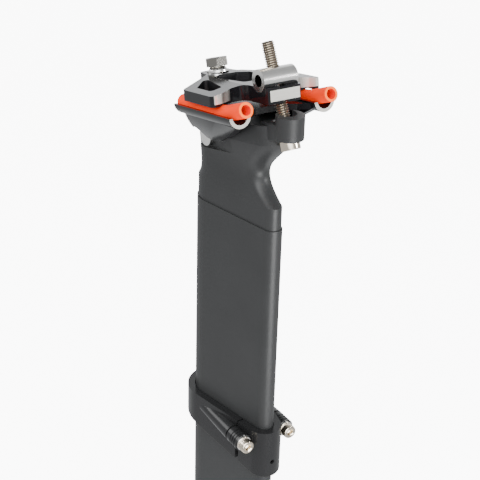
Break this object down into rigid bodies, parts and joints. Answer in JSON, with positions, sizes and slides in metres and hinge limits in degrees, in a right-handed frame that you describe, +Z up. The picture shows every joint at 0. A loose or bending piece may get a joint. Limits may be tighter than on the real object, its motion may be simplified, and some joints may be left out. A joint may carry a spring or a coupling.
{
  "type": "suspension seatpost",
  "caption": "Aero-section bicycle seatpost with a short spring travel, a two-bolt tilting saddle-rail clamp, rubber rail sleeves and a split frame collar.",
  "frame": {"origin": "on the post's long axis, where the post enters the seat tube and the collar's sloping underside crosses the axis", "axes": "+Z up the post towards the saddle, +X to the front of the bicycle, +Y to its left"},
  "size_m": [0.0771, 0.057, 0.3095],
  "materials": {
    "post_black": "satin black anodised aluminium",
    "clamp_black": "gloss black anodised aluminium",
    "collar_black": "semi-gloss black anodised aluminium",
    "polished_steel": "polished stainless steel",
    "bolt_steel": "bright stainless steel with a warm tint",
    "plain_alloy": "plain turned aluminium",
    "spring_steel": "dark phosphated spring wire",
    "bushing": "natural acetal",
    "elastomer": "amber-red polyurethane",
    "seal_rubber": "black rubber",
    "orange_hose": "soft orange-red silicone"
  },
  "bodies": {
    "sleeve": {"lower_sleeve": "post_black", "upper_bushing": "bushing", "lower_bushing": "bushing", "dust_seal": "seal_rubber", "spring_base": "plain_alloy", "bump_stop": "elastomer", "preload_screw": "plain_alloy", "lower_spring_seat": "plain_alloy", "main_spring": "spring_steel"},
    "mast": {"upper_mast": "post_black", "upper_spring_seat": "plain_alloy", "guide_rod": "bolt_steel", "topout_bumper": "elastomer", "topout_plate": "bolt_steel", "rod_nut": "bolt_steel"},
    "clamp": {"cradle": "clamp_black", "yoke": "clamp_black", "left_rail_hose": "orange_hose", "right_rail_hose": "orange_hose", "front_barrel_nut": "polished_steel", "front_dish_washer": "polished_steel", "front_cone_washer": "polished_steel", "front_clamp_bolt": "bolt_steel"},
    "rear_nut": {"rear_barrel_nut": "polished_steel"},
    "rear_bolt": {"rear_clamp_bolt": "bolt_steel", "rear_ball_washer": "polished_steel"},
    "collar": {"collar_front": "collar_black", "collar_rear": "collar_black", "collar_left_washer": "polished_steel", "collar_right_washer": "polished_steel", "collar_left_bolt": "bolt_steel", "collar_right_bolt": "bolt_steel"}
  },
  "joints": [
    {"name": "suspension_travel", "type": "slide", "parent": "sleeve", "child": "mast", "axis": [0, 0, -1], "range_m": [0, 0.01], "stiffness_N_per_m": 50000, "springref_m": -0.004, "deforming": ["main_spring"]},
    {"name": "saddle_tilt", "type": "hinge", "parent": "mast", "child": "clamp", "pos_m": [0.01601, 0, 0.16372], "axis": [0, 1, 0], "range_deg": [-3.5, 6]},
    {"name": "rear_nut_swing", "type": "hinge", "parent": "clamp", "child": "rear_nut", "pos_m": [-0.02346, 0, 0.20186], "axis": [0, 1, 0], "range_deg": [-3, 3]},
    {"name": "rear_bolt_swing", "type": "hinge", "parent": "mast", "child": "rear_bolt", "pos_m": [-0.03595, 0, 0.17736], "axis": [0, 1, 0], "range_deg": [-3, 4]},
    {"name": "collar_slide", "type": "slide", "parent": "sleeve", "child": "collar", "axis": [0, 0, 1], "range_m": [-0.06, 0.09]}
  ],
  "couplings": [
    {"joint": "rear_bolt_swing", "follows": "saddle_tilt", "ratio": 0.577},
    {"joint": "rear_nut_swing", "follows": "saddle_tilt", "ratio": -0.423}
  ]
}
